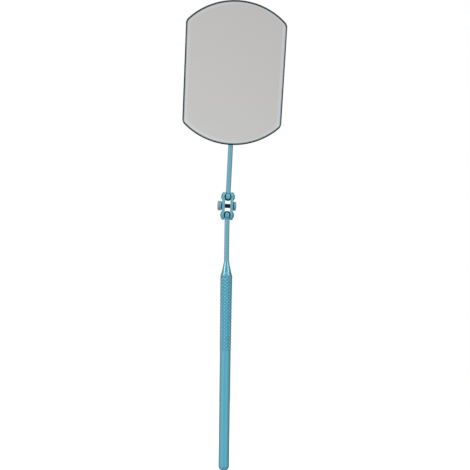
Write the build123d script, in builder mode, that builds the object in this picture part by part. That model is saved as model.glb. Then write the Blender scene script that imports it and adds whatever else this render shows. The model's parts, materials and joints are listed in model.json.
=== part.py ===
"""Hand mirror with a double ball joint: round handle, clamped swivel, thin stem and a large framed glass.

Millimetres.  +Z runs up the handle towards the mirror, and the mirror looks along -Y.
The origin lies on the handle's axis, in the middle of the plain shank.
"""
from build123d import *
import os
from math import cos, radians, sin, sqrt

# ------------------------------------------------------------------ handle
butt_z = -34.0                      # bottom of the handle
shank_radius = 3.0
shank_length = 67.0                 # plain part, from the butt to the knurl
butt_rounding = 2.3
grip_length = 42.0                  # knurled part, measured over the crests
grip_foot_radius = 3.14
grip_top_radius = 3.4
grip_edge = 0.2
bore_radius = 2.1                   # inside of the tube
cap_depth = butt_rounding            # the cap is the rounded end, down from the tube's edge
plug_length = 6.0                   # spigot of the end cap
spigot_length = 14.0                # spigot of the neck
spigot_chamfer = 0.4

# ------------------------------------------------------------------ neck and balls
shoulder_radius = 3.15
shoulder_bulge = (3.04, 0.95)       # radius and height above the grip, half-way round the shoulder
cone_foot = (2.72, 1.65)            # radius and height where the straight taper starts
cone_tip = (1.55, 7.4)              # radius and height where it ends and runs out into the neck
cone_length = 9.2
neck_radius = 1.38
neck_length = 24.9                  # from the top of the cone to the middle of the lower ball
ball_radius = 2.3
ball_spacing = 10.2
flat_height = 1.8                   # ball centre to the flat where the arm meets it
arm_gap = 0.03                      # between an arm's shoulder and its ball's flat
pin_radius = 0.8
pin_reach = 1.1                     # pin's end beyond the ball's centre
running_gap = 0.03                  # radial clearance of pins, screw and balls
head_lean = 2.1                     # the clamp and mirror stand this many degrees off the handle

# ------------------------------------------------------------------ clamp
plate_gap = 3.0                     # between the plates' inner faces
plate_thickness = 1.6
plate_end_radius = 2.75
plate_edge = 0.12                   # chamfer round the inner face
plate_outer_edge = 0.45
dome_radius = 2.1
dome_height = 0.8
relief_radius = 1.95                # of the bore from front to back at each ball
screw_radius = 1.15
plate_hole_gap = 0.1
washer_thickness = 0.35
washer_height = 0.55                # free height of the dished washer
washer_radius = 2.5
head_radius = 2.7
head_height = 1.75
head_crown = 0.35
nut_radius = 2.55
nut_height = 0.95
nut_crown = 0.3
sleeve_radius = 1.7                 # of the nut's sleeve, through the right plate
slot_width = 0.6
slot_depth = 0.55

# ------------------------------------------------------------------ stem and mirror
stem_radius = 1.36
stem_visible = 29.0                 # upper ball's centre to the tray's lower edge
stem_end_gap = 2.0                  # solid end of the socket beyond the stem
mirror_height = 81.0
mirror_half_width = 28.0            # at mid-height
side_taper = 0.35                   # each side leans out by this much at the corners
top_arc_radius = 38.5
bottom_arc_radius = 39.0
corner_radius = 4.2
tray_back_y = -2.0
tray_floor = 0.6
tray_wall = 0.6
tray_lip = 0.25                     # rounding of the rim
rim_height = 0.1                    # the rim stands this far proud of the glass
adhesive_thickness = 0.2
adhesive_inset = 2.0
glass_gap = 0.05                    # between the glass and the tray's wall
glass_thickness = 2.0
bevel_width = 1.9
bevel_depth = 0.15
glass_edge_width = 0.4              # ground edge outside the bevel
glass_edge_depth = 0.25

# ------------------------------------------------------------------ socket on the tray's back
pad_radius = 8.0
pad_thickness = 1.0
pad_height = 13.5                   # pad's centre above the tray's lower edge
barrel_radius = 2.1
barrel_start = 4.0                  # barrel's mouth above the tray's lower edge
barrel_length = 17.0
rivet_radius = 0.8
rivet_spacing = 10.4
rivet_head_radius = 1.4
rivet_head_height = 0.6
rivet_rounding = 0.42

# ------------------------------------------------------------------ worked-out places
shank_top_z = butt_z + shank_length
grip_top_z = shank_top_z + grip_length
cone_top_z = grip_top_z + cone_length
lower_ball_z = cone_top_z + neck_length
cap_seam_z = butt_z + cap_depth
half_gap = plate_gap / 2
plate_outer = half_gap + plate_thickness
washer_outer = plate_outer + washer_height

# The clamp, the upper ball, the stem and the mirror share one slightly leaning frame.
across = Vector(cos(radians(head_lean)), 0, -sin(radians(head_lean)))
upward = Vector(sin(radians(head_lean)), 0, cos(radians(head_lean)))
facing = Vector(0, -1, 0)
lower_ball_centre = Vector(0, 0, lower_ball_z)
upper_ball_centre = lower_ball_centre + upward * ball_spacing
screw_centre = lower_ball_centre + upward * (ball_spacing / 2)
mirror_foot = upper_ball_centre + upward * stem_visible
mirror_centre = mirror_foot + upward * (mirror_height / 2)
screw_axis = Axis(screw_centre, across)
stem_axis = Axis(upper_ball_centre, upward)


def front_plane(origin, y=0.0):
    """Plane facing the viewer: its x runs across the clamp, its y up the stem."""
    return Plane(origin=(origin.X, y, origin.Z), x_dir=across, z_dir=facing)


def clamp_plane(x):
    """Plane square to the clamp screw, x mm along it; its own x runs along +Y, its y up the stem."""
    return Plane(origin=screw_centre + across * x, x_dir=(0, 1, 0), z_dir=across)


# ================================================================== handle
with BuildPart() as handle_tube:
    with BuildSketch(Plane.XZ):
        Polygon(
            (bore_radius, cap_seam_z),
            (shank_radius, cap_seam_z),
            (shank_radius, shank_top_z),
            (grip_foot_radius, shank_top_z + grip_edge),
            (grip_top_radius, grip_top_z - grip_edge),
            (grip_top_radius - grip_edge, grip_top_z),
            (bore_radius, grip_top_z),
            align=None,
        )
    revolve(axis=Axis.Z)
handle_tube.part.label = "handle_tube"

with BuildPart() as end_cap:
    with BuildSketch(Plane.XZ):
        with BuildLine():
            flat_end = Line((0, butt_z), (shank_radius - butt_rounding, butt_z))
            corner = RadiusArc(flat_end @ 1, (shank_radius, butt_z + butt_rounding), -butt_rounding)
            Polyline(
                corner @ 1,
                (shank_radius, cap_seam_z),
                (bore_radius, cap_seam_z),
                (bore_radius, cap_seam_z + plug_length - spigot_chamfer),
                (bore_radius - spigot_chamfer, cap_seam_z + plug_length),
                (0, cap_seam_z + plug_length),
                (0, butt_z),
            )
        make_face()
    revolve(axis=Axis.Z)
end_cap.part.label = "end_cap"

neck_end_z = lower_ball_z - flat_height - arm_gap
with BuildPart() as handle_neck:
    with BuildSketch(Plane.XZ):
        with BuildLine():
            spigot = Polyline(
                (0, grip_top_z - spigot_length),
                (bore_radius - spigot_chamfer, grip_top_z - spigot_length),
                (bore_radius, grip_top_z - spigot_length + spigot_chamfer),
                (bore_radius, grip_top_z),
                (shoulder_radius, grip_top_z),
            )
            shoulder = ThreePointArc(
                spigot @ 1,
                (shoulder_bulge[0], grip_top_z + shoulder_bulge[1]),
                (cone_foot[0], grip_top_z + cone_foot[1]),
            )
            taper = Line(shoulder @ 1, (cone_tip[0], grip_top_z + cone_tip[1]))
            flare = TangentArc(taper @ 1, (neck_radius, cone_top_z), tangent=taper % 1)
            Polyline(
                flare @ 1,
                (neck_radius, neck_end_z),
                (pin_radius, neck_end_z),
                (pin_radius, lower_ball_z + pin_reach),
                (0, lower_ball_z + pin_reach),
                (0, grip_top_z - spigot_length),
            )
        make_face()
    revolve(axis=Axis.Z)
handle_neck.part.label = "handle_neck"


# ================================================================== balls
def turned_ball(centre, away):
    """Ball with a flat and a blind hole on the side of its arm; away points from the arm into the ball."""
    middle = Plane(origin=centre, z_dir=away)
    with BuildPart() as ball:
        with Locations(centre):
            Sphere(ball_radius)
        split(bisect_by=middle.offset(-flat_height), keep=Keep.TOP)
        with BuildSketch(middle.offset(-ball_radius)):
            Circle(pin_radius + running_gap)
        extrude(amount=ball_radius + pin_reach + arm_gap, mode=Mode.SUBTRACT)
    return ball.part


lower_ball = turned_ball(lower_ball_centre, Vector(0, 0, 1))
lower_ball.label = "lower_ball"
upper_ball = turned_ball(upper_ball_centre, upward * -1)
upper_ball.label = "upper_ball"


# ================================================================== clamp
def crown_arc(side, x, radius, height):
    """Arc of a shallow spherical cap that starts at its rim, x mm out, and ends on the turning axis."""
    cap_radius = (radius**2 + height**2) / (2 * height)
    return RadiusArc((side * x, radius), (side * (x + height), 0), side * cap_radius)


def clamp_plate(side, hole_radius):
    """Strap with a domed cup round each ball; side is -1 for the left plate and +1 for the right one."""
    with BuildPart() as plate:
        with BuildSketch(clamp_plane(side * half_gap)):
            SlotCenterToCenter(ball_spacing, 2 * plate_end_radius, rotation=90)
        extrude(amount=side * plate_thickness)
        outer_first = plate.faces().sort_by(Axis(screw_centre, across * -side))
        inner_rim = outer_first[-1].edges()
        outer_rim = outer_first[0].edges()
        chamfer(inner_rim, plate_edge)
        fillet(outer_rim, plate_outer_edge)
        for centre in (lower_ball_centre, upper_ball_centre):
            with BuildSketch(front_plane(centre)):
                with BuildLine():
                    crown = crown_arc(side, plate_outer, dome_radius, dome_height)
                    dome_root = side * (plate_outer - dome_height / 2)
                    Polyline(crown @ 1, (dome_root, 0), (dome_root, dome_radius), crown @ 0)
                make_face()
            revolve(axis=Axis(centre, across))
        for centre in (lower_ball_centre, upper_ball_centre):
            with BuildSketch(front_plane(centre)):
                with BuildLine():
                    seat = CenterArc((0, 0), ball_radius + running_gap, 0, 180)
                    Line(seat @ 1, seat @ 0)
                make_face()
            revolve(axis=Axis(centre, across), mode=Mode.SUBTRACT)
            with BuildSketch(front_plane(centre)):
                Circle(relief_radius)
            extrude(amount=plate_end_radius, both=True, mode=Mode.SUBTRACT)
        with BuildSketch(clamp_plane(side * half_gap)):
            Circle(hole_radius)
        extrude(amount=side * plate_thickness, mode=Mode.SUBTRACT)
    return plate.part


left_clamp_plate = clamp_plate(-1, screw_radius + plate_hole_gap)
left_clamp_plate.label = "left_clamp_plate"
right_clamp_plate = clamp_plate(1, sleeve_radius + plate_hole_gap)
right_clamp_plate.label = "right_clamp_plate"


def dished_washer(side, hole_radius):
    """Conical spring washer whose wide rim bears on the plate."""
    rise = washer_height - washer_thickness
    with BuildPart() as washer:
        with BuildSketch(front_plane(screw_centre)):
            Polygon(
                (side * plate_outer, washer_radius),
                (side * (plate_outer + washer_thickness), washer_radius),
                (side * washer_outer, hole_radius),
                (side * (plate_outer + rise), hole_radius),
                align=None,
            )
        revolve(axis=screw_axis)
    return washer.part


left_spring_washer = dished_washer(-1, screw_radius + plate_hole_gap)
left_spring_washer.label = "left_spring_washer"
right_spring_washer = dished_washer(1, sleeve_radius + plate_hole_gap)
right_spring_washer.label = "right_spring_washer"


def slot_outline(x):
    """Outline of a screwdriver slot right across a head, x mm along the screw."""
    with BuildSketch(clamp_plane(x)) as slot:
        Rectangle(slot_width, 3 * head_radius)
    return slot.sketch


with BuildPart() as clamp_screw:
    head_top = washer_outer + head_height + head_crown
    with BuildSketch(front_plane(screw_centre)):
        with BuildLine():
            crown = crown_arc(-1, washer_outer + head_height, head_radius, head_crown)
            Polyline(
                crown @ 1,
                (washer_outer, 0),
                (washer_outer, screw_radius),
                (-washer_outer, screw_radius),
                (-washer_outer, head_radius),
                crown @ 0,
            )
        make_face()
    revolve(axis=screw_axis)
    extrude(slot_outline(-head_top), amount=slot_depth, mode=Mode.SUBTRACT)
clamp_screw.part.label = "clamp_screw"

with BuildPart() as clamp_nut:
    nut_top = washer_outer + nut_height + nut_crown
    thread_end = washer_outer + 2 * running_gap
    with BuildSketch(front_plane(screw_centre)):
        with BuildLine():
            crown = crown_arc(1, washer_outer + nut_height, nut_radius, nut_crown)
            Polyline(
                crown @ 1,
                (thread_end, 0),
                (thread_end, screw_radius + running_gap),
                (half_gap, screw_radius + running_gap),
                (half_gap, sleeve_radius),
                (washer_outer, sleeve_radius),
                (washer_outer, nut_radius),
                crown @ 0,
            )
        make_face()
    revolve(axis=screw_axis)
    extrude(slot_outline(nut_top), amount=-slot_depth, mode=Mode.SUBTRACT)
clamp_nut.part.label = "clamp_nut"

# ================================================================== stem
stem_start = flat_height + arm_gap
stem_end = stem_visible + barrel_start + barrel_length - stem_end_gap
with BuildPart() as mirror_stem:
    with BuildSketch(front_plane(upper_ball_centre)):
        Polygon(
            (0, -pin_reach),
            (pin_radius, -pin_reach),
            (pin_radius, stem_start),
            (stem_radius, stem_start),
            (stem_radius, stem_end - spigot_chamfer),
            (stem_radius - spigot_chamfer, stem_end),
            (0, stem_end),
            align=None,
        )
    revolve(axis=stem_axis)
mirror_stem.part.label = "mirror_stem"


# ================================================================== mirror
def mirror_outline(y, inset):
    """Barrel shape of the mirror: slightly tapered sides between two arcs, with rounded corners."""
    half = mirror_height / 2
    top_half_width = mirror_half_width + side_taper
    foot_half_width = mirror_half_width - side_taper
    top_rise = sqrt(top_arc_radius**2 - top_half_width**2)
    foot_drop = sqrt(bottom_arc_radius**2 - foot_half_width**2)
    top_corner_z = half - top_arc_radius + top_rise
    foot_corner_z = -half + bottom_arc_radius - foot_drop
    with BuildSketch(front_plane(mirror_centre, y)) as outline:
        with BuildLine():
            left = Line((-foot_half_width, foot_corner_z), (-top_half_width, top_corner_z))
            top = ThreePointArc(left @ 1, (0, half), (top_half_width, top_corner_z))
            right = Line(top @ 1, (foot_half_width, foot_corner_z))
            ThreePointArc(right @ 1, (0, -half), left @ 0)
        make_face()
        fillet(outline.vertices(), corner_radius)
        if inset > 0:
            offset(amount=-inset, mode=Mode.REPLACE)
    return outline.sketch


glass_back_y = tray_back_y - tray_floor - adhesive_thickness
glass_front_y = glass_back_y - glass_thickness
rim_y = glass_front_y - rim_height
with BuildPart() as mirror_frame:
    extrude(mirror_outline(tray_back_y, 0), amount=tray_back_y - rim_y)
    fillet(mirror_frame.faces().sort_by(Axis.Y)[0].edges(), tray_lip)
    extrude(
        mirror_outline(tray_back_y - tray_floor, tray_wall),
        amount=tray_back_y - rim_y,
        mode=Mode.SUBTRACT,
    )
    with BuildSketch(front_plane(mirror_foot + upward * pad_height, tray_back_y)):
        with GridLocations(rivet_spacing, 1, 2, 1):
            Circle(rivet_radius)
    extrude(amount=tray_floor, mode=Mode.SUBTRACT)
mirror_frame.part.label = "mirror_frame"

with BuildPart() as glass_adhesive:
    extrude(mirror_outline(tray_back_y - tray_floor, adhesive_inset), amount=adhesive_thickness)
glass_adhesive.part.label = "glass_adhesive"

glass_inset = tray_wall + glass_gap
bevel_inset = glass_inset + glass_edge_width
bevel_y = glass_front_y + bevel_depth
edge_y = bevel_y + glass_edge_depth
with BuildPart() as mirror_glass:
    extrude(mirror_outline(glass_back_y, glass_inset), amount=glass_back_y - edge_y)
    loft(
        [
            mirror_outline(edge_y, glass_inset).faces()[0],
            mirror_outline(bevel_y, bevel_inset).faces()[0],
        ],
        ruled=True,
    )
    loft(
        [
            mirror_outline(bevel_y, bevel_inset).faces()[0],
            mirror_outline(glass_front_y, bevel_inset + bevel_width).faces()[0],
        ],
        ruled=True,
    )
mirror_glass.part.label = "mirror_glass"

# ================================================================== socket and rivets
barrel_mouth = mirror_foot + upward * barrel_start
pad_centre = mirror_foot + upward * pad_height
with BuildPart() as stem_socket:
    with BuildSketch(front_plane(pad_centre, tray_back_y)):
        Circle(pad_radius)
    extrude(amount=-pad_thickness)
    with BuildSketch(Plane(origin=barrel_mouth, x_dir=across, z_dir=upward)):
        Circle(barrel_radius)
    extrude(amount=barrel_length)
    split(bisect_by=Plane.XZ.offset(-tray_back_y), keep=Keep.BOTTOM)
    with BuildSketch(Plane(origin=barrel_mouth, x_dir=across, z_dir=upward)):
        Circle(stem_radius)
    extrude(amount=barrel_length - stem_end_gap, mode=Mode.SUBTRACT)
    with BuildSketch(front_plane(pad_centre, tray_back_y)):
        with GridLocations(rivet_spacing, 1, 2, 1):
            Circle(rivet_radius)
    extrude(amount=-pad_thickness, mode=Mode.SUBTRACT)
stem_socket.part.label = "stem_socket"

pad_face_y = tray_back_y + pad_thickness
with BuildPart() as socket_rivets:
    with BuildSketch(front_plane(pad_centre, tray_back_y - tray_floor)):
        with GridLocations(rivet_spacing, 1, 2, 1):
            Circle(rivet_radius)
    extrude(amount=-(pad_thickness + tray_floor))
    with BuildSketch(front_plane(pad_centre, pad_face_y)):
        with GridLocations(rivet_spacing, 1, 2, 1):
            Circle(rivet_head_radius)
    extrude(amount=-rivet_head_height)
    fillet(socket_rivets.faces().sort_by(Axis.Y)[-2:].edges(), rivet_rounding)
socket_rivets.part.label = "socket_rivets"

# ================================================================== export
pieces = [
    handle_tube.part,
    end_cap.part,
    handle_neck.part,
    lower_ball,
    left_clamp_plate,
    right_clamp_plate,
    left_spring_washer,
    right_spring_washer,
    clamp_screw.part,
    clamp_nut.part,
    upper_ball,
    mirror_stem.part,
    stem_socket.part,
    socket_rivets.part,
    mirror_frame.part,
    glass_adhesive.part,
    mirror_glass.part,
]
os.makedirs("parts", exist_ok=True)
for piece in pieces:
    export_step(piece, f"parts/{piece.label}.step")
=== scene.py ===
"""Looks of the hand mirror with a double ball joint.

A turned and knurled blue handle carries a screw-clamped double ball joint, a thin stem and a large
framed glass. Named sizes are millimetres; everything placed in the scene is in metres, in the part's frame.
"""
import bpy
import json
from math import asin, atan2, cos, degrees, floor, pi, radians, sin, sqrt, tan
from mathutils import Matrix, Vector

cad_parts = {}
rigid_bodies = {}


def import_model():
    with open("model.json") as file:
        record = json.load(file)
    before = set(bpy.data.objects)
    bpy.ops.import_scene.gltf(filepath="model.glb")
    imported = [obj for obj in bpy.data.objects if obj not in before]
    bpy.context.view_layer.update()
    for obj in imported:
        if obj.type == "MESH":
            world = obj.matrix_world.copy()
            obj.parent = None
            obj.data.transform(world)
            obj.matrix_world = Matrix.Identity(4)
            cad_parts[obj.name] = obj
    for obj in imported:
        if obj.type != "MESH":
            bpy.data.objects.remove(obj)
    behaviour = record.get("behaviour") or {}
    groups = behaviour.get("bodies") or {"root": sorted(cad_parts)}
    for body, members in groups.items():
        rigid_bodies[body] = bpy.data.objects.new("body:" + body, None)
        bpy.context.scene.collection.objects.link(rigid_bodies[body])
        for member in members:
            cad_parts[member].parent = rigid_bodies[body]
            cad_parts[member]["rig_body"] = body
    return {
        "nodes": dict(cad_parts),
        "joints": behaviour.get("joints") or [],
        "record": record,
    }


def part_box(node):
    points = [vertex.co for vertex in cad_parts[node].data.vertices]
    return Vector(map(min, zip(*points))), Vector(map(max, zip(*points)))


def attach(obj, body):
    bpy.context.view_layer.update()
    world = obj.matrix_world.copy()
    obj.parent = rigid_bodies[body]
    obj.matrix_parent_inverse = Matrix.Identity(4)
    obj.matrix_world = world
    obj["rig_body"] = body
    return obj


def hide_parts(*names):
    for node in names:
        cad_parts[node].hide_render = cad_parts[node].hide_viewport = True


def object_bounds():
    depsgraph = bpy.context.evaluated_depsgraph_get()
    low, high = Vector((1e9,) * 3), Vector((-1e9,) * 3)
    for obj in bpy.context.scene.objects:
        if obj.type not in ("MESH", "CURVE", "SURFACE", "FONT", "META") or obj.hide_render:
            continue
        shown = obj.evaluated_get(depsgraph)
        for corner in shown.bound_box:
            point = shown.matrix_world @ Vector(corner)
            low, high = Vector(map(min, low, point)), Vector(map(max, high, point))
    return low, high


MM = 0.001
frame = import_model()
cad_low, cad_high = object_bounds()
nodes = frame["nodes"]
joints = {joint["name"]: joint for joint in frame["joints"]}
mounts = {mount["name"]: mount for mount in frame["record"]["mounts"]}

# ------------------------------------------------------------------ shared frames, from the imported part
lower_ball_centre = Vector(joints["lower_ball_twist"]["pos_m"])
upper_ball_centre = Vector(joints["upper_ball_twist"]["pos_m"])
screw_centre = Vector(joints["clamp_screw_turn"]["pos_m"])
across = Vector(joints["lower_ball_swing"]["axis"])
upward = Vector(joints["upper_ball_twist"]["axis"])
backward = Vector((0, 1, 0))
glass_face_centre = Vector(mounts["mirror_face"]["pos_m"])
mirror_centre = Vector((glass_face_centre.x, 0, glass_face_centre.z))

# Columns of each turning frame: the two radial directions, or an outline's own two, then the axis.
STRAIGHT_UP = Matrix.Identity(3)
LEANING_UP = Matrix((across, backward, upward)).transposed()
LEANING_DOWN = Matrix((-across, backward, -upward)).transposed()
BACKWARD = Matrix((-across, upward, backward)).transposed()
OUT_RIGHT = Matrix((backward, upward, across)).transposed()
OUT_LEFT = Matrix((backward, -upward, -across)).transposed()
MIRROR_BACK = Matrix((across, upward, backward)).transposed()

# ------------------------------------------------------------------ sizes, millimetres
SHANK_RADIUS = 3.0
BORE_RADIUS = 2.1
BUTT_ROUNDING = 2.3
PLUG_LENGTH = 6.0
SPIGOT_LENGTH = 14.0
SPIGOT_CHAMFER = 0.4
SEAM_CHAMFER = 0.05  # either side of the joint between tube and cap

GRIP_LENGTH = 42.0
GRIP_FOOT_RADIUS = 3.14
GRIP_TOP_RADIUS = 3.39
GRIP_EDGE = 0.2  # chamfer at each end of the grip
KNURL_STARTS = 9  # grooves each way round
KNURL_PITCH = 1.9  # from crest to crest along the grip
KNURL_DEPTH = 0.26
KNURL_CREST = 0.8  # crests are flattened above this share of the depth
KNURL_STEPS = 10  # mesh steps in one pitch
KNURL_FADE = 0.5  # the grooves run out over this length
PLAIN_SURFACE = 0.62  # the plain shank lies this far from the groove's painted shade to crest colour

SHOULDER_RADIUS = 3.15
SHOULDER_BULGE = (3.04, 0.95)  # radius and height half-way round the shoulder
CONE_FOOT = (2.72, 1.65)  # radius and height where the straight taper starts
CONE_TIP = (1.55, 7.4)  # and where it ends
CONE_LENGTH = 9.2
NECK_RADIUS = 1.38
NECK_STEPS = 12
ARM_ROUNDING = 0.12
BALL_RADIUS = 2.3
FLAT_HEIGHT = 1.8  # ball's centre to the flat that faces its arm
ARM_GAP = 0.03  # between an arm's shoulder and that flat
PIN_RADIUS = 0.8
PIN_REACH = 1.1  # of the arm's pin beyond the ball's centre
RUNNING_GAP = 0.03
STEM_RADIUS = 1.36
STEM_LENGTH = 48.0

BALL_SPACING = 10.2
HALF_GAP = 1.5
PLATE_THICKNESS = 1.6
PLATE_END_RADIUS = 2.75
PLATE_INNER_CHAMFER = 0.12
PLATE_OUTER_ROUNDING = 0.45
DOME_RADIUS = 2.1
DOME_HEIGHT = 0.8
RELIEF_RADIUS = 1.95  # of the bore from front to back at each ball
SEAT_SHADE_END = 1.45  # the painted seat shade starts this far out
SEAT_SHADE_WIDTH = 0.5
SEAT_END_SHARE = 0.85  # reach towards the ball's far end counts this much
PLATE_HOLE_GAP = 0.1
WASHER_THICKNESS = 0.35
WASHER_HEIGHT = 0.55  # free height of the dished washer
WASHER_RADIUS = 2.5
WASHER_FOOT_ROUNDING = 0.04
WASHER_RIM_ROUNDING = 0.1
WASHER_HOLE_ROUNDING = 0.05
SCREW_RADIUS = 1.15
HEAD_RADIUS = 2.7
HEAD_HEIGHT = 1.75
HEAD_CROWN = 0.35
HEAD_FOOT_ROUNDING = 0.1
HEAD_RIM_ROUNDING = 0.25
CROWN_CLEARANCE = 0.05  # between the rim rounding and the first point of the crown
NUT_RADIUS = 2.55
NUT_HEIGHT = 0.95
NUT_CROWN = 0.3
SLEEVE_RADIUS = 1.7
SLOT_WIDTH = 0.6
SLOT_DEPTH = 0.55
# The screw's shank is painted near-black: painted shade in the gap between the plates.
SHANK_SHADE_RADIUS = 1.2 * SCREW_RADIUS  # inside this the screw is dark,
SHANK_SHADE_START = -(HALF_GAP + PLATE_THICKNESS + WASHER_HEIGHT + 0.01)  # from under its head on

MIRROR_HEIGHT = 80.994
MIRROR_HALF_WIDTH = 27.995
SIDE_TAPER = 0.35  # each side leans out by this much at the corners
TOP_ARC_RADIUS = 38.5
BOTTOM_ARC_RADIUS = 39.0
CORNER_RADIUS = 4.2
TRAY_FLOOR = 0.6
TRAY_WALL = 0.6
TRAY_FOOT = 0.2  # rounding of the back edge
TRAY_LIP = 0.25
TRAY_INNER_LIP = 0.12  # rounding inside the rim, next to the glass
INNER_LIP_STEPS = 5
BACK_LIGHTNESS = 0.8  # of the tray's back, between the painted shade of its edge (0) and its grey (1)
GLASS_INSET = 0.65
BEVEL_WIDTH = 1.9
BEVEL_DEPTH = 0.15
GLASS_EDGE_WIDTH = 0.4
GLASS_EDGE_DEPTH = 0.25
BEVEL_HIGHLIGHT_DEPTH = 0.23  # the bevel is painted pale, as a highlight, over this depth

# ------------------------------------------------------------------ dyes, as pairs, colours of painted light, and grain directions
HANDLE_BLUE = ((0.138, 0.615, 0.825), (0.128, 0.588, 0.800))
KNURL_BLUE = ((0.165, 0.765, 0.980), (0.150, 0.725, 0.950))
NECK_BLUE = ((0.195, 0.575, 0.740), (0.175, 0.545, 0.710))
BALL_BLUE = ((0.180, 0.580, 0.720), (0.160, 0.545, 0.690))
CLAMP_BLUE = ((0.180, 0.620, 0.780), (0.160, 0.590, 0.750))
# The washers' blue is darkened by painted shade from the gap between head and plate.
WASHER_BLUE_AND_SHADE = ((0.030, 0.230, 0.320), (0.025, 0.200, 0.290))
STEEL = ((0.32, 0.54, 0.66), (0.30, 0.51, 0.63))
RIVET_GREY = ((0.62, 0.64, 0.66), (0.58, 0.60, 0.62))
TRAY_GREY = ((0.26, 0.31, 0.33), (0.23, 0.28, 0.30))
ADHESIVE_CREAM = ((0.60, 0.60, 0.55), (0.50, 0.50, 0.45))
SILVERING = ((0.805, 0.805, 0.797), (0.790, 0.785, 0.775))
FLOOR_WHITE = ((0.93, 0.93, 0.93), (0.91, 0.91, 0.91))
# Colours of painted light: painted shade in the knurl grooves, on the balls under the plates, on the screw's
# shank and on the tray's outer edge, and a painted highlight down the glass bevel.
GROOVE_PAINTED_SHADE = (0.080, 0.370, 0.530)
SEAT_PAINTED_SHADE = (0.015, 0.055, 0.080)
SHANK_PAINTED_SHADE = (0.030, 0.020, 0.040)
TRAY_EDGE_PAINTED_SHADE = (0.006, 0.014, 0.018)
BEVEL_PAINTED_HIGHLIGHT = (0.92, 0.98, 1.0)
RINGS = (400.0, 400.0, 9000.0)
EVEN = (5000.0, 5000.0, 5000.0)
SLOW = (60.0, 60.0, 60.0)
BROAD = (40.0, 40.0, 40.0)
POLISH_DRIFT = 0.07


# ------------------------------------------------------------------ mesh helpers
def add_mesh(name, points, faces, sharp_angle=30):
    """New object from plain lists, smooth apart from edges sharper than sharp_angle degrees."""
    mesh = bpy.data.meshes.new(name)
    mesh.from_pydata([tuple(point) for point in points], [], faces)
    mesh.update()
    piece = bpy.data.objects.new(name, mesh)
    bpy.context.scene.collection.objects.link(piece)
    smooth(piece, sharp_angle)
    return piece


def smooth(piece, sharp_angle):
    mesh = piece.data
    mesh.polygons.foreach_set("use_smooth", [True] * len(mesh.polygons))
    mesh.set_sharp_from_angle(angle=radians(sharp_angle))


def store_surface(piece, values):
    """Stores the surface attribute that a metal with a painted light colour fades by: 0 to 1 for each
    vertex.
    """
    piece.data.attributes.new("surface", "FLOAT", "POINT").data.foreach_set("value", values)


def apply_modifiers(piece):
    graph = bpy.context.evaluated_depsgraph_get()
    mesh = bpy.data.meshes.new_from_object(piece.evaluated_get(graph))
    piece.modifiers.clear()
    piece.data = mesh


def combine(piece, tool, operation):
    """Joins the tool to the piece or cuts it away, and removes the tool."""
    boolean = piece.modifiers.new("combine", "BOOLEAN")
    boolean.operation = operation
    boolean.solver = "EXACT"
    boolean.object = tool
    apply_modifiers(piece)
    bpy.data.objects.remove(tool)


def rounded(corners, steps=5):
    """Profile from (radius, height, rounding) corners: each rounding becomes a tangent arc."""
    points = []
    for i, (r, h, rounding) in enumerate(corners):
        here = Vector((r, h))
        if rounding == 0:
            points.append(here)
            continue
        to_before = (Vector(corners[i - 1][:2]) - here).normalized()
        to_after = (Vector(corners[(i + 1) % len(corners)][:2]) - here).normalized()
        half = to_before.angle(to_after) / 2
        middle = here + (to_before + to_after).normalized() * (rounding / sin(half))
        first = here + to_before * (rounding / tan(half)) - middle
        last = here + to_after * (rounding / tan(half)) - middle
        points += [middle + swing(first, last, k / steps) for k in range(steps + 1)]
    return points


def swing(first, last, share):
    """Vector turned from first towards last by that share of the angle between them."""
    turn = atan2(first.x * last.y - first.y * last.x, first.dot(last)) * share
    return Vector((first.x * cos(turn) - first.y * sin(turn), first.x * sin(turn) + first.y * cos(turn)))


def corner_points(*corners):
    """Profile points from plain (radius, height) pairs."""
    return [Vector(corner) for corner in corners]


def arc_points(centre, radius, start, end, steps):
    """Points of an arc in the profile plane, its angles in degrees."""
    angles = [radians(start + (end - start) * k / steps) for k in range(steps + 1)]
    return [Vector((centre[0] + radius * cos(a), centre[1] + radius * sin(a))) for a in angles]


def cap_points(rim_radius, rim_height, rise, steps=14):
    """Shallow spherical cap, from its rim to the axis."""
    radius = (rim_radius**2 + rise**2) / (2 * rise)
    middle = rim_height + rise - radius
    reach = asin(rim_radius / radius)
    angles = [reach * (1 - k / steps) for k in range(steps)]
    points = [Vector((radius * sin(a), middle + radius * cos(a))) for a in angles]
    return points + [Vector((0, rim_height + rise))]


def lathe(name, profile, origin, turn, segments=96, sharp_angle=30):
    """Turned solid. The profile (mm) runs from the axis back to the axis, or round as a closed ring."""
    points = []
    rings = []
    for r, h in profile:
        if abs(r) < 1e-6:
            rings.append([len(points)])
            points.append(origin + turn @ Vector((0, 0, h * MM)))
            continue
        rings.append(range(len(points), len(points) + segments))
        for k in range(segments):
            angle = 2 * pi * k / segments
            points.append(origin + turn @ Vector((r * cos(angle), r * sin(angle), h)) * MM)
    if len(rings[0]) > 1:
        rings.append(rings[0])
    faces = []
    for low, high in zip(rings, rings[1:]):
        for k in range(segments):
            n = (k + 1) % segments
            if len(low) == 1:
                faces.append((low[0], high[n], high[k]))
            elif len(high) == 1:
                faces.append((low[k], low[n], high[0]))
            else:
                faces.append((low[k], low[n], high[n], high[k]))
    return add_mesh(name, points, faces, sharp_angle)


def stack(name, outline, levels, origin, turn, sharp_angle=30):
    """Solid from one outline repeated at (inset, depth) levels and closed by a flat face at each end."""
    points = []
    for inset, depth in levels:
        for point, outward in outline:
            flat = point - outward * inset
            points.append(origin + turn @ Vector((flat.x, flat.y, depth)) * MM)
    count = len(outline)
    faces = [tuple(reversed(range(count))), tuple(range(len(points) - count, len(points)))]
    for level in range(len(levels) - 1):
        for k in range(count):
            n = (k + 1) % count
            low, high = level * count, (level + 1) * count
            faces.append((low + k, low + n, high + n, high + k))
    return add_mesh(name, points, faces, sharp_angle)


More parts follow.
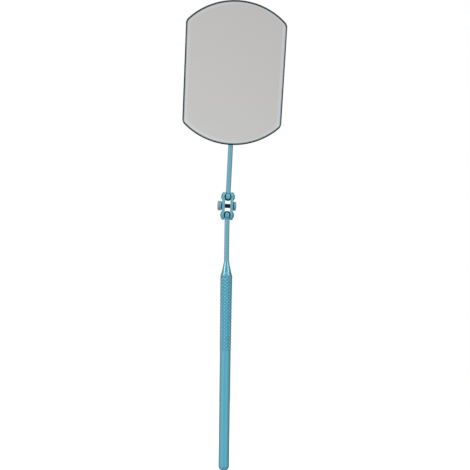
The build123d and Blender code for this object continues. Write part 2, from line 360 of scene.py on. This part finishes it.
def rounded_edge(inset, height, radius, side, steps=7):
    """Levels of a quarter-round edge ending at this height: side 1 comes from above it, -1 from below."""
    angles = [pi / 2 * k / (steps - 1) for k in range(steps)]
    return [(inset + radius * (1 - cos(a)), height + side * radius * (1 - sin(a))) for a in angles]


def outline_arc(centre, radius, start, end, steps):
    """Outline points with their outward normals along an arc; angles in radians."""
    result = []
    for k in range(steps + 1):
        angle = start + (end - start) * k / steps
        outward = Vector((cos(angle), sin(angle)))
        result.append((Vector(centre) + outward * radius, outward))
    return result


# ------------------------------------------------------------------ outlines
def stadium_outline(half_length, radius, steps=32):
    """Two half circles joined by straight sides, long way along the outline's second direction."""
    top = outline_arc((0, half_length), radius, 0, pi, steps)
    bottom = outline_arc((0, -half_length), radius, pi, 2 * pi, steps)
    return top + bottom


def corner_fillet(corner_low, corner_high, arc_centre, arc_radius):
    """Centre of the fillet between the right-hand side line and the arc above it."""
    along = (corner_high - corner_low).normalized()
    inward = Vector((-along.y, along.x))
    start = corner_low + inward * CORNER_RADIUS - arc_centre
    middle = -start.dot(along)
    reach = sqrt((arc_radius - CORNER_RADIUS) ** 2 - (start + along * middle).length_squared)
    return arc_centre + start + along * (middle + reach)


def mirror_outline():
    """Barrel shape with rounded corners, centred on the mirror; points run anticlockwise."""
    half = MIRROR_HEIGHT / 2
    top_half = MIRROR_HALF_WIDTH + SIDE_TAPER
    foot_half = MIRROR_HALF_WIDTH - SIDE_TAPER
    top_centre = Vector((0, half - TOP_ARC_RADIUS))
    foot_centre = Vector((0, BOTTOM_ARC_RADIUS - half))
    top_corner = Vector((top_half, top_centre.y + sqrt(TOP_ARC_RADIUS**2 - top_half**2)))
    foot_corner = Vector((foot_half, foot_centre.y - sqrt(BOTTOM_ARC_RADIUS**2 - foot_half**2)))
    upper = corner_fillet(foot_corner, top_corner, top_centre, TOP_ARC_RADIUS)
    flip = Vector((1, -1))
    flipped = corner_fillet(flip * top_corner, flip * foot_corner, flip * foot_centre, BOTTOM_ARC_RADIUS)
    lower = flip * flipped
    side = top_corner - foot_corner
    side_angle = atan2(-side.x, side.y)
    top_angle = atan2(upper.y - top_centre.y, upper.x)
    foot_angle = atan2(lower.y - foot_centre.y, lower.x)
    right = outline_arc(lower, CORNER_RADIUS, foot_angle, side_angle, 20)
    right += outline_arc(upper, CORNER_RADIUS, side_angle, top_angle, 20)
    top = outline_arc(top_centre, TOP_ARC_RADIUS, top_angle, pi - top_angle, 60)[1:-1]
    left = [(Vector((-p.x, p.y)), Vector((-n.x, n.y))) for p, n in reversed(right)]
    bottom = outline_arc(foot_centre, BOTTOM_ARC_RADIUS, -pi - foot_angle, foot_angle, 60)[1:-1]
    return right + top + left + bottom


# ------------------------------------------------------------------ handle
def knurl_height(i, j):
    """0 in a groove, 1 on a crest: two crossing families of V grooves with flattened crests."""
    first = ((i + j) % KNURL_STEPS) / KNURL_STEPS
    second = ((i - j) % KNURL_STEPS) / KNURL_STEPS
    depth = min(1 - abs(2 * first - 1), 1 - abs(2 * second - 1))
    return min(depth, KNURL_CREST) / KNURL_CREST


def tube_rows(foot, top):
    """Rings of the tube, up its outside and back down the bore: radius, height, and knurl row or None."""
    grip_foot = top - GRIP_LENGTH
    step = KNURL_PITCH / KNURL_STEPS
    rows = [
        (SHANK_RADIUS - SEAM_CHAMFER, foot, None),
        (SHANK_RADIUS, foot + SEAM_CHAMFER, None),
        (SHANK_RADIUS, grip_foot, None),
    ]
    for j in range(2, floor((GRIP_LENGTH - GRIP_EDGE) / step)):
        share = j * step / GRIP_LENGTH
        crest = GRIP_FOOT_RADIUS + (GRIP_TOP_RADIUS - GRIP_FOOT_RADIUS) * share
        rows.append((crest, grip_foot + j * step, j))
    rows += [
        (GRIP_TOP_RADIUS, top - GRIP_EDGE, None),
        (GRIP_TOP_RADIUS - GRIP_EDGE, top, None),
        (BORE_RADIUS, top, None),
        (BORE_RADIUS, foot, None),
    ]
    return rows


def tube_faces(rows, segments):
    """Faces between the rings. In the knurl each is split so that grooves and crests follow the edges."""
    crease = (0, round(KNURL_STEPS * KNURL_CREST / 2), round(KNURL_STEPS * (1 - KNURL_CREST / 2)))
    faces = []
    for row, (_, _, j) in enumerate(rows):
        base, above = row * segments, (row + 1) % len(rows) * segments
        for i in range(segments):
            n = (i + 1) % segments
            a, b, c, d = base + i, base + n, above + n, above + i
            if j is None:
                faces.append((a, b, c, d))
            elif (i + j + 1) % KNURL_STEPS in crease:
                faces += [(a, b, d), (b, c, d)]
            else:
                faces += [(a, b, c), (a, c, d)]
    return faces


def knurled_tube():
    """Plain shank and diamond-knurled grip in one tube."""
    low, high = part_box("handle_tube")
    foot, top = low.z / MM, high.z / MM
    rows = tube_rows(foot, top)
    segments = KNURL_STARTS * KNURL_STEPS
    points = []
    heights = []
    for radius, z, j in rows:
        from_end = 0 if j is None else min(z - (top - GRIP_LENGTH), top - z) / KNURL_FADE
        depth = KNURL_DEPTH * min(1, from_end)
        for i in range(segments):
            height = PLAIN_SURFACE if j is None else knurl_height(i, j)
            r = radius - depth * (1 - height)
            angle = 2 * pi * i / segments
            points.append(Vector((r * cos(angle), r * sin(angle), z)) * MM)
            heights.append(height)
    piece = add_mesh("knurled_handle", points, tube_faces(rows, segments), 24)
    # The same share paints the grooves darker than the crests: painted shade.
    store_surface(piece, heights)
    return piece


def rounded_cap():
    """Rounded butt end with the plug that holds it in the tube."""
    low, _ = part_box("end_cap")
    flat = SHANK_RADIUS - BUTT_ROUNDING
    plug_top = BUTT_ROUNDING + PLUG_LENGTH
    profile = corner_points((0, 0))
    profile += arc_points((flat, BUTT_ROUNDING), BUTT_ROUNDING, -90, 0, 24)[:-1]
    profile += corner_points(
        (SHANK_RADIUS, BUTT_ROUNDING - SEAM_CHAMFER),
        (SHANK_RADIUS - SEAM_CHAMFER, BUTT_ROUNDING),
        (BORE_RADIUS, BUTT_ROUNDING),
        (BORE_RADIUS, plug_top - SPIGOT_CHAMFER),
        (BORE_RADIUS - SPIGOT_CHAMFER, plug_top),
        (0, plug_top),
    )
    return lathe("butt_cap", profile, Vector((0, 0, low.z)), STRAIGHT_UP, 120)


def circle_through(a, b, c):
    """Centre of the circle through three profile points."""
    d = 2 * (a.x * (b.y - c.y) + b.x * (c.y - a.y) + c.x * (a.y - b.y))
    aa, bb, cc = a.length_squared, b.length_squared, c.length_squared
    x = (aa * (b.y - c.y) + bb * (c.y - a.y) + cc * (a.y - b.y)) / d
    y = (aa * (c.x - b.x) + bb * (a.x - c.x) + cc * (b.x - a.x)) / d
    return Vector((x, y))


def turned_neck():
    """Shoulder above the grip, hollow taper, thin rod and the pin inside the lower ball."""
    _, tube_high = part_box("handle_tube")
    base = tube_high.z / MM
    ball = lower_ball_centre.z / MM - base
    start, foot, tip = Vector((SHOULDER_RADIUS, 0)), Vector(CONE_FOOT), Vector(CONE_TIP)
    centre = circle_through(start, Vector(SHOULDER_BULGE), foot)
    shares = [k / NECK_STEPS for k in range(1, NECK_STEPS + 1)]
    shoulder = [start] + [centre + swing(start - centre, foot - centre, share) for share in shares]
    taper = [foot.lerp(tip, share) for share in shares]
    end = Vector((NECK_RADIUS, CONE_LENGTH))
    outward = Vector(((tip - foot).y, (foot - tip).x)).normalized()
    chord = end - tip
    middle = tip + outward * (chord.length_squared / (2 * chord.dot(outward)))
    flare = [middle + swing(tip - middle, end - middle, share) for share in shares]
    arm_end = ball - FLAT_HEIGHT - ARM_GAP
    profile = corner_points(
        (0, -SPIGOT_LENGTH),
        (BORE_RADIUS - SPIGOT_CHAMFER, -SPIGOT_LENGTH),
        (BORE_RADIUS, SPIGOT_CHAMFER - SPIGOT_LENGTH),
        (BORE_RADIUS, 0),
    )
    profile += shoulder + taper + flare
    profile += rounded([
        (NECK_RADIUS, CONE_LENGTH, 0),
        (NECK_RADIUS, arm_end, ARM_ROUNDING),
        (PIN_RADIUS, arm_end, 0),
        (PIN_RADIUS, ball + PIN_REACH, 0),
        (0, ball + PIN_REACH, 0),
    ])[1:]
    return lathe("turned_neck", profile, Vector((0, 0, tube_high.z)), STRAIGHT_UP, 96)


def turned_ball(name, centre, turn):
    """Ball whose flat and blind hole face its arm, at the low end of the turning frame."""
    hole = PIN_RADIUS + RUNNING_GAP
    depth = PIN_REACH + ARM_GAP
    profile = corner_points((0, depth), (hole, depth), (hole, -FLAT_HEIGHT))
    flat_edge = degrees(asin(-FLAT_HEIGHT / BALL_RADIUS))
    profile += arc_points((0, 0), BALL_RADIUS, flat_edge, 89.9, 64)[:-1]
    profile += corner_points((0, BALL_RADIUS))
    return lathe(name, profile, centre, turn, 96)


def thin_stem():
    """Rod from the upper ball up into the socket behind the tray."""
    profile = rounded([
        (0, -PIN_REACH, 0),
        (PIN_RADIUS, -PIN_REACH, 0),
        (PIN_RADIUS, FLAT_HEIGHT + ARM_GAP, 0),
        (STEM_RADIUS, FLAT_HEIGHT + ARM_GAP, ARM_ROUNDING),
        (STEM_RADIUS, STEM_LENGTH - SPIGOT_CHAMFER, 0),
        (STEM_RADIUS - SPIGOT_CHAMFER, STEM_LENGTH, 0),
        (0, STEM_LENGTH, 0),
    ])
    return lathe("thin_stem", profile, upper_ball_centre, LEANING_UP, 96)


# ------------------------------------------------------------------ clamp
def strap(name, turn, hole_radius):
    """Clamp plate: a round-ended strap, domed outwards over each ball and hollowed to fit it."""
    inner, outer = HALF_GAP, HALF_GAP + PLATE_THICKNESS
    levels = [(PLATE_INNER_CHAMFER, inner), (0, inner + PLATE_INNER_CHAMFER)]
    levels += rounded_edge(0, outer, PLATE_OUTER_ROUNDING, -1)
    outline = stadium_outline(BALL_SPACING / 2, PLATE_END_RADIUS)
    piece = stack(name, outline, levels, screw_centre, turn)
    for centre in (lower_ball_centre, upper_ball_centre):
        root = outer - DOME_HEIGHT / 2
        dome = corner_points((0, root), (DOME_RADIUS, root)) + cap_points(DOME_RADIUS, outer, DOME_HEIGHT)
        combine(piece, lathe("dome", dome, centre, turn), "UNION")
    for centre in (lower_ball_centre, upper_ball_centre):
        cup = BALL_RADIUS + RUNNING_GAP
        seat = corner_points((0, -cup)) + arc_points((0, 0), cup, -89, 89, 60) + corner_points((0, cup))
        combine(piece, lathe("seat", seat, centre, turn), "DIFFERENCE")
        reach = 2 * PLATE_END_RADIUS
        relief = corner_points((0, -reach), (RELIEF_RADIUS, -reach), (RELIEF_RADIUS, reach), (0, reach))
        combine(piece, lathe("relief", relief, centre, BACKWARD), "DIFFERENCE")
    hole = corner_points((0, 0), (hole_radius, 0), (hole_radius, 2 * outer), (0, 2 * outer))
    combine(piece, lathe("hole", hole, screw_centre, turn), "DIFFERENCE")
    smooth(piece, 20)
    return piece


def dished_washer(name, turn, hole_radius):
    """Conical washer whose wide rim bears on the plate."""
    base = HALF_GAP + PLATE_THICKNESS
    rise = WASHER_HEIGHT - WASHER_THICKNESS
    profile = rounded([
        (WASHER_RADIUS, base, WASHER_FOOT_ROUNDING),
        (WASHER_RADIUS, base + WASHER_THICKNESS, WASHER_RIM_ROUNDING),
        (hole_radius, base + WASHER_HEIGHT, WASHER_HOLE_ROUNDING),
        (hole_radius, base + rise, WASHER_HOLE_ROUNDING),
    ])
    return lathe(name, profile, screw_centre, turn)


def cut_slot(piece, turn, top):
    """Screwdriver slot right across a head, running up the clamp."""
    x, y = SLOT_WIDTH / 2, 2 * HEAD_RADIUS
    outline = [(corner, Vector((0, 0))) for corner in corner_points((x, y), (-x, y), (-x, -y), (x, -y))]
    cutter = stack("slot_cutter", outline, [(0, top - SLOT_DEPTH), (0, top + 1)], screw_centre, turn)
    combine(piece, cutter, "DIFFERENCE")


def crowned(start, radius, base, height, crown):
    """Profile of a crowned head on top of the start points, its two rims rounded."""
    rim = base + height
    cap = cap_points(radius, rim, crown)
    corners = [(*point, 0) for point in start]
    corners += [(radius, base, HEAD_FOOT_ROUNDING), (radius, rim, HEAD_RIM_ROUNDING), (*cap[1], 0)]
    profile = rounded(corners)[:-1]
    return profile + [point for point in cap if point.x < profile[-1].x - CROWN_CLEARANCE]


def slotted_screw():
    """Round crowned head on the left and the plain shank that runs through to the nut."""
    base = HALF_GAP + PLATE_THICKNESS + WASHER_HEIGHT
    shank = [(0, -base), (SCREW_RADIUS, -base), (SCREW_RADIUS, base)]
    profile = crowned(shank, HEAD_RADIUS, base, HEAD_HEIGHT, HEAD_CROWN)
    piece = lathe("slotted_screw", profile, screw_centre, OUT_LEFT)
    cut_slot(piece, OUT_LEFT, base + HEAD_HEIGHT + HEAD_CROWN)
    smooth(piece, 25)
    return piece


def slotted_nut():
    """Crowned nut whose threaded sleeve reaches through the right plate."""
    base = HALF_GAP + PLATE_THICKNESS + WASHER_HEIGHT
    thread_end = base + 2 * RUNNING_GAP
    bore = SCREW_RADIUS + RUNNING_GAP
    sleeve = [(0, thread_end), (bore, thread_end), (bore, HALF_GAP)]
    sleeve += [(SLEEVE_RADIUS, HALF_GAP), (SLEEVE_RADIUS, base)]
    profile = crowned(sleeve, NUT_RADIUS, base, NUT_HEIGHT, NUT_CROWN)
    piece = lathe("slotted_nut", profile, screw_centre, OUT_RIGHT)
    cut_slot(piece, OUT_RIGHT, base + NUT_HEIGHT + NUT_CROWN)
    smooth(piece, 25)
    return piece


# ------------------------------------------------------------------ mirror
def mirror_tray(outline):
    """Shallow tray with a rounded lip: a grey back, a dark outer edge of painted shade and a lighter inner
    lip.
    """
    low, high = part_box("mirror_frame")
    back, front = high.y / MM, low.y / MM
    levels = [(TRAY_FOOT, back), (0.3 * TRAY_FOOT, back - 0.3 * TRAY_FOOT), (0, back - TRAY_FOOT)]
    levels += rounded_edge(0, front, TRAY_LIP, 1)
    for k in range(INNER_LIP_STEPS):
        angle = pi / 2 * k / (INNER_LIP_STEPS - 1)
        inset = TRAY_WALL - TRAY_INNER_LIP * (1 - sin(angle))
        levels.append((inset, front + TRAY_INNER_LIP * (1 - cos(angle))))
    levels.append((TRAY_WALL, back - TRAY_FLOOR))
    piece = stack("mirror_tray", outline, levels, mirror_centre, MIRROR_BACK)
    # The outer wall and lip take painted shade, standing for the rim's dark reflection.
    painted_shade_levels = len(levels) - 2 - INNER_LIP_STEPS
    lightness = [BACK_LIGHTNESS, BACK_LIGHTNESS / 2] + [0.0] * painted_shade_levels + [1.0] * INNER_LIP_STEPS
    store_surface(piece, [share for share in lightness for _ in outline])
    return piece


def bevelled_glass(outline):
    """Thick glass with a ground bevel all round its front."""
    low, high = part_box("mirror_glass")
    back, front = high.y / MM, low.y / MM
    bevel_inset = GLASS_INSET + GLASS_EDGE_WIDTH
    levels = [
        (GLASS_INSET, back),
        (GLASS_INSET, front + BEVEL_DEPTH + GLASS_EDGE_DEPTH),
        (bevel_inset, front + BEVEL_DEPTH),
        (bevel_inset + BEVEL_WIDTH, front),
    ]
    return stack("bevelled_glass", outline, levels, mirror_centre, MIRROR_BACK, 3)


# ------------------------------------------------------------------ materials
class Nodes:
    """Short way to add and join shader nodes."""

    def __init__(self, tree):
        self.tree = tree

    def add(self, kind, links=None, **settings):
        node = self.tree.nodes.new("ShaderNode" + kind)
        for key, value in settings.items():
            setattr(node, key, value)
        for socket, source in (links or {}).items():
            if isinstance(source, bpy.types.NodeSocket):
                self.tree.links.new(source, node.inputs[socket])
            else:
                node.inputs[socket].default_value = source
        return node


def metal(name, dyes, roughness, grain, metallic=1.0, painted_light=None, coat=0.0):
    """Metal that drifts between two dyes and in its polish, with a fine grain stretched by the grain vector.

    With a painted light colour, the surface attribute (1 on top, 0 where painted shade or a painted
    highlight goes) fades between that and the dye.
    """
    material = bpy.data.materials.new(name)
    material.use_nodes = True
    graph = Nodes(material.node_tree)
    shader = material.node_tree.nodes["Principled BSDF"]
    place = graph.add("TexCoord").outputs["Object"]
    drift = graph.add("TexNoise", {"Vector": place, "Scale": 140.0, "Detail": 3.0}).outputs["Fac"]
    tint = graph.add("Mix", data_type="RGBA")
    link_colours(graph, tint, drift, *dyes)
    dye = tint.outputs[2]
    if painted_light:
        surface = graph.add("Attribute", attribute_name="surface").outputs["Fac"]
        painted_light_mix = graph.add("Mix", data_type="RGBA")
        link_colours(graph, painted_light_mix, surface, painted_light, dye)
        dye = painted_light_mix.outputs[2]
    material.node_tree.links.new(dye, shader.inputs["Base Color"])
    stretched = graph.add("Mapping", {"Vector": place, "Scale": grain}).outputs["Vector"]
    lines = graph.add("TexNoise", {"Vector": stretched, "Scale": 1.0, "Detail": 4.0}).outputs["Fac"]
    dullest, brightest = roughness + POLISH_DRIFT, roughness - POLISH_DRIFT
    polish = graph.add("MapRange", {"Value": lines, "To Min": brightest, "To Max": dullest})
    material.node_tree.links.new(polish.outputs["Result"], shader.inputs["Roughness"])
    bump = graph.add("Bump", {"Height": lines, "Strength": 0.25, "Distance": 0.00003})
    material.node_tree.links.new(bump.outputs["Normal"], shader.inputs["Normal"])
    shader.inputs["Metallic"].default_value = metallic
    shader.inputs["Coat Weight"].default_value = coat
    shader.inputs["Coat Roughness"].default_value = 0.3
    return material


def link_colours(graph, mix, factor, low, high):
    """Feeds a colour Mix node, whose ends are its sockets 6 and 7, from sockets or plain colours."""
    graph.tree.links.new(factor, mix.inputs[0])
    for socket, value in ((mix.inputs[6], low), (mix.inputs[7], high)):
        if isinstance(value, bpy.types.NodeSocket):
            graph.tree.links.new(value, socket)
        else:
            socket.default_value = (*value, 1)


def dress(piece, material):
    piece.data.materials.clear()
    piece.data.materials.append(material)
    piece.data.polygons.foreach_set("material_index", [0] * len(piece.data.polygons))


def mark_surface(piece, value_at):
    """Stores the surface attribute from a function of the vertex position."""
    store_surface(piece, [value_at(vertex.co) for vertex in piece.data.vertices])


def seat_shade(centre, away):
    """1 on a ball's open front and back, fading to 0 (painted shade) where the cups rub and on its end away
    from the arm.
    """
    def shade(co):
        offset = co - centre
        reach = max(abs(offset.dot(across)), SEAT_END_SHARE * offset.dot(away))
        return min(1, max(0, (SEAT_SHADE_END * MM - reach) / (SEAT_SHADE_WIDTH * MM)))
    return shade


def shank_shade(co):
    """0 on the bare shank of the screw, which is painted dark as shade, 1 on its head."""
    offset = co - screw_centre
    along = offset.dot(across)
    near_axis = (offset - across * along).length < SHANK_SHADE_RADIUS * MM
    past_head = along > SHANK_SHADE_START * MM
    return 0 if near_axis and past_head else 1


def bevel_painted_highlight(co):
    """1 on the flat of the glass, fading to 0 down its bevel, which is painted pale as a highlight."""
    return max(0, 1 - (co.y - glass_face_centre.y) / (BEVEL_HIGHLIGHT_DEPTH * MM))


# The second colour of the ball, screw, frame and glass finishes is painted light: shade in the ball seats,
# on the shank and on the tray's edge, and a highlight on the bevel.
FINISHES = {
    "handle_anodising": dict(dyes=HANDLE_BLUE, roughness=0.36, grain=RINGS, coat=1.0),
    "neck_anodising": dict(dyes=NECK_BLUE, roughness=0.28, grain=RINGS, coat=0.9),
    "ball_anodising": dict(dyes=BALL_BLUE, roughness=0.24, grain=EVEN, painted_light=SEAT_PAINTED_SHADE, coat=0.5),
    "clamp_anodising": dict(dyes=CLAMP_BLUE, roughness=0.30, grain=EVEN, coat=0.9),
    "washer_steel": dict(dyes=WASHER_BLUE_AND_SHADE, roughness=0.30, grain=EVEN),
    "screw_steel": dict(dyes=STEEL, roughness=0.30, grain=EVEN, painted_light=SHANK_PAINTED_SHADE),
    "nut_steel": dict(dyes=STEEL, roughness=0.28, grain=EVEN),
    "socket_anodising": dict(dyes=HANDLE_BLUE, roughness=0.32, grain=EVEN, coat=0.9),
    "rivet_aluminium": dict(dyes=RIVET_GREY, roughness=0.35, grain=EVEN),
    "frame_anodising": dict(dyes=TRAY_GREY, roughness=0.30, grain=EVEN, painted_light=TRAY_EDGE_PAINTED_SHADE),
    "adhesive": dict(dyes=ADHESIVE_CREAM, roughness=0.6, grain=EVEN, metallic=0.0),
    "mirror_glass": dict(dyes=SILVERING, roughness=0.08, grain=SLOW, painted_light=BEVEL_PAINTED_HIGHLIGHT),
}
slots = {name: metal(name, **finish) for name, finish in FINISHES.items()}
# Anodised blue on the crests, painted shade in the grooves.
knurl_dye_and_groove_shade = metal("knurl_anodising_and_groove_shade", KNURL_BLUE, 0.36, RINGS, painted_light=GROOVE_PAINTED_SHADE, coat=1.0)
for name, node in nodes.items():
    dress(node, slots[node.data.materials[0].name.split(".")[0]])


# ------------------------------------------------------------------ pieces in place of the CAD nodes
def fit(piece, node, slot, finish=None):
    """Shows the piece in place of a CAD node, riding with that node's body and in that slot's finish."""
    dress(piece, finish or slots[slot])
    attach(piece, nodes[node]["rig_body"])
    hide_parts(node)


fit(knurled_tube(), "handle_tube", "handle_anodising", knurl_dye_and_groove_shade)
fit(rounded_cap(), "end_cap", "handle_anodising")
fit(turned_neck(), "handle_neck", "neck_anodising")
for name, centre, turn in (
    ("lower", lower_ball_centre, STRAIGHT_UP),
    ("upper", upper_ball_centre, LEANING_DOWN),
):
    ball = turned_ball(name + "_joint_ball", centre, turn)
    mark_surface(ball, seat_shade(centre, turn.col[2]))
    fit(ball, name + "_ball", "ball_anodising")
fit(thin_stem(), "mirror_stem", "neck_anodising")
fit(strap("left_strap", OUT_LEFT, SCREW_RADIUS + PLATE_HOLE_GAP), "left_clamp_plate", "clamp_anodising")
fit(strap("right_strap", OUT_RIGHT, SLEEVE_RADIUS + PLATE_HOLE_GAP), "right_clamp_plate", "clamp_anodising")
left_washer = dished_washer("left_washer", OUT_LEFT, SCREW_RADIUS + PLATE_HOLE_GAP)
fit(left_washer, "left_spring_washer", "washer_steel")
right_washer = dished_washer("right_washer", OUT_RIGHT, SLEEVE_RADIUS + PLATE_HOLE_GAP)
fit(right_washer, "right_spring_washer", "washer_steel")
screw = slotted_screw()
mark_surface(screw, shank_shade)
fit(screw, "clamp_screw", "screw_steel")
fit(slotted_nut(), "clamp_nut", "nut_steel")
barrel = mirror_outline()
fit(mirror_tray(barrel), "mirror_frame", "frame_anodising")
glass = bevelled_glass(barrel)
# Paints a pale highlight down the glass bevel.
mark_surface(glass, bevel_painted_highlight)
fit(glass, "mirror_glass", "mirror_glass")

# ------------------------------------------------------------------ studio
# Brightness round the horizon in (degrees, level, warmth) rows, by signed degrees off the front: pale grey
# where the mirror looks, slightly warm sides and a dark stretch towards the back.
AROUND = (
    (-180, 0.90, 0.0), (-166, 0.50, 0.0), (-146, 0.30, 0.5), (-121, 0.44, 1.0), (-88, 0.60, 1.0),
    (-62, 0.76, 0.75), (-40, 0.75, 0.2), (-20, 0.71, 0.0), (-3, 0.725, 0.0), (3, 0.665, 0.0),
    (20, 0.71, 0.0), (45, 0.75, 0.25), (72, 0.58, 0.7), (105, 0.34, 0.6), (140, 0.20, 0.0),
    (166, 0.35, 0.0), (180, 0.90, 0.0),
)
# What that is multiplied by, from straight down to straight up.
UP = (
    (-90, 0.60, 0.0), (-50, 0.75, 0.0), (-25, 0.80, 0.0), (-8, 0.96, 0.0), (0, 1.05, 0.0), (2.6, 1.0, 0.0),
    (7, 0.905, 0.04), (17, 0.90, 0.0), (25, 0.42, 0.0), (32, 0.90, 0.0), (42, 1.40, 0.0), (64, 1.35, 0.0),
    (90, 0.90, 0.0),
)
WARM_RED = 0.38
WARM_BLUE = -0.06
FLOOR_RADIUS = 0.45
FLOOR_SIDES = 96
FLOOR_GLOW = 0.7
tool_centre = (cad_low + cad_high) / 2


def softbox(name, azimuth, elevation, distance, width, tall, power):
    """Area light aimed at the middle of the tool; azimuth 0 is straight in front."""
    data = bpy.data.lights.new(name, "AREA")
    data.shape = "RECTANGLE"
    data.size = width
    data.size_y = tall
    data.energy = power
    lamp = bpy.data.objects.new(name, data)
    bpy.context.scene.collection.objects.link(lamp)
    turn, lift = radians(azimuth), radians(elevation)
    away = Vector((sin(turn) * cos(lift), -cos(turn) * cos(lift), sin(lift)))
    lamp.location = tool_centre + away * distance
    lamp.rotation_euler = away.to_track_quat("Z", "Y").to_euler()
    lamp.visible_camera = False


def band(graph, share, rows):
    """Brightness along one direction; the share runs from 0 at the first row to 1 at the last."""
    ramp = graph.add("ValToRGB", {"Fac": share})
    stops = ramp.color_ramp.elements
    while len(stops) < len(rows):
        stops.new(0.5)
    start, end = rows[0][0], rows[-1][0]
    for stop, (at, level, warmth) in zip(stops, rows):
        stop.position = (at - start) / (end - start)
        stop.color = (level * (1 + WARM_RED * warmth), level, level * (1 + WARM_BLUE * warmth), 1)
    return ramp.outputs["Color"]


def studio_world():
    """Soft light that depends on direction, behind a plain white that only the camera sees."""
    world = bpy.data.worlds.new("studio")
    bpy.context.scene.world = world
    world.use_nodes = True
    graph = Nodes(world.node_tree)
    direction = graph.add("SeparateXYZ", {"Vector": graph.add("TexCoord").outputs["Generated"]})
    ahead = graph.add("Math", {0: direction.outputs["Y"], 1: -1.0}, operation="MULTIPLY")
    turn = graph.add("Math", {0: direction.outputs["X"], 1: ahead.outputs[0]}, operation="ARCTAN2")
    turn_share = graph.add("Math", {0: turn.outputs[0], 1: 0.5 / pi, 2: 0.5}, operation="MULTIPLY_ADD")
    lift = graph.add("Math", {0: direction.outputs["Z"]}, operation="ARCSINE")
    lift_share = graph.add("Math", {0: lift.outputs[0], 1: 1 / pi, 2: 0.5}, operation="MULTIPLY_ADD")
    around = band(graph, turn_share.outputs[0], AROUND)
    up = band(graph, lift_share.outputs[0], UP)
    both = graph.add("VectorMath", {0: around, 1: up}, operation="MULTIPLY")
    lit = world.node_tree.nodes["Background"]
    world.node_tree.links.new(both.outputs["Vector"], lit.inputs["Color"])
    seen = graph.add("Background", {"Color": (1, 1, 1, 1), "Strength": 1.0})
    ray = graph.add("LightPath")
    pick = graph.add("MixShader", {0: ray.outputs["Is Camera Ray"], 1: lit.outputs[0], 2: seen.outputs[0]})
    world.node_tree.links.new(pick.outputs[0], world.node_tree.nodes["World Output"].inputs["Surface"])


def pale_floor():
    """Pale disc under the butt that glows a little, so that it stays as light as the backdrop."""
    angles = [2 * pi * k / FLOOR_SIDES for k in range(FLOOR_SIDES)]
    rim = [Vector((FLOOR_RADIUS * cos(a), FLOOR_RADIUS * sin(a), cad_low.z)) for a in angles]
    floor_piece = add_mesh("floor", rim, [tuple(range(FLOOR_SIDES))])
    material = metal("pale_floor", FLOOR_WHITE, 0.7, BROAD, metallic=0.0)
    shader = material.node_tree.nodes["Principled BSDF"]
    shader.inputs["Emission Color"].default_value = (1, 1, 1, 1)
    shader.inputs["Emission Strength"].default_value = FLOOR_GLOW
    dress(floor_piece, material)
    floor_piece.visible_glossy = False


softbox("left_softbox", -57, 22, 1.2, 0.42, 0.4, 1.4)
softbox("right_softbox", 54, 22, 1.2, 0.38, 0.4, 1.1)
studio_world()
pale_floor()

# ------------------------------------------------------------------ camera
FRAME_MARGIN = 1.0015
CAMERA_SIDE = 1.33 * MM
CAMERA_RISE = 0.35 * MM
CAMERA_ROLL = radians(0.78)


def place_camera():
    """Long lens straight in front of the tool, rolled a little, with the tool as tall as the frame."""
    data = bpy.data.cameras.new("camera")
    data.lens = 150
    data.sensor_width = 36
    data.clip_start = 0.05
    data.clip_end = 20
    camera = bpy.data.objects.new("camera", data)
    bpy.context.scene.collection.objects.link(camera)
    bpy.context.scene.camera = camera
    distance = (cad_high.z - cad_low.z) * FRAME_MARGIN * data.lens / data.sensor_width
    camera.location = (tool_centre.x + CAMERA_SIDE, -distance, tool_centre.z + CAMERA_RISE)
    roll = Matrix.Rotation(-CAMERA_ROLL, 3, "Y")
    camera.rotation_euler = (roll @ Matrix.Rotation(pi / 2, 3, "X")).to_euler()


place_camera()
bpy.context.scene.view_settings.view_transform = "Standard"
bpy.context.scene.view_settings.look = "None"
